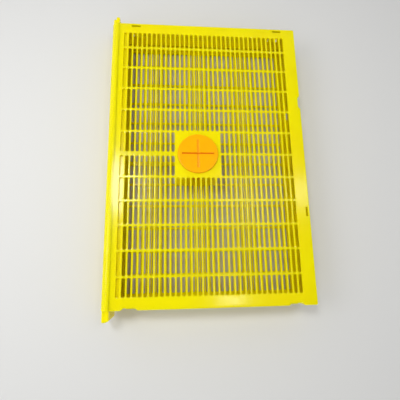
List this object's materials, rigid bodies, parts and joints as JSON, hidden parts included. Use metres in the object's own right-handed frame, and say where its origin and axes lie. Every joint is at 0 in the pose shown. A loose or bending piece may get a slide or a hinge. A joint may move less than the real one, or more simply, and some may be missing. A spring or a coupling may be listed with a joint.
{
  "type": "queen isolator cage",
  "caption": "Flat slotted cage of two snap-together half shells with hanging lugs and a twist-in plug in each face, holding a queen bee on one comb while workers pass through",
  "frame": {"origin": "Middle of the closed cage, on the parting plane between the two halves", "axes": "X runs from the top bar to the bottom edge (down when hung in a hive), Y along the top bar from lug to lug, Z through the cage from the back half to the front half. The cage lies flat on its back half, as in the picture."},
  "size_m": [0.2478, 0.3926, 0.0462],
  "materials": {
    "yellow_plastic": "glossy moulded yellow plastic",
    "orange_plastic": "glossy moulded orange plastic"
  },
  "bodies": {
    "back_half": {"back_grid_panel": "yellow_plastic", "back_hook_end_wall": "yellow_plastic", "back_pocket_end_wall": "yellow_plastic", "back_bottom_wall": "yellow_plastic", "back_top_bar": "yellow_plastic", "back_snap_hooks": "yellow_plastic"},
    "front_half": {"front_grid_panel": "yellow_plastic", "front_hook_end_wall": "yellow_plastic", "front_pocket_end_wall": "yellow_plastic", "front_bottom_wall": "yellow_plastic", "front_top_bar": "yellow_plastic", "front_snap_hooks": "yellow_plastic"},
    "front_plug_body": {"front_plug": "orange_plastic"},
    "back_plug_body": {"back_plug": "orange_plastic"}
  },
  "joints": [
    {"name": "front_half_lift", "type": "slide", "parent": "back_half", "child": "front_half", "axis": [0, 0, 1], "range_m": [0, 0.06], "deforming": ["front_snap_hooks", "back_snap_hooks"]},
    {"name": "front_plug_twist", "type": "hinge", "parent": "front_half", "child": "front_plug_body", "pos_m": [-0.01255, 0, 0.02075], "axis": [0, 0, 1], "range_deg": [0, 90]},
    {"name": "back_plug_twist", "type": "hinge", "parent": "back_half", "child": "back_plug_body", "pos_m": [-0.01255, 0, -0.02075], "axis": [0, 0, -1], "range_deg": [0, 90]}
  ]
}
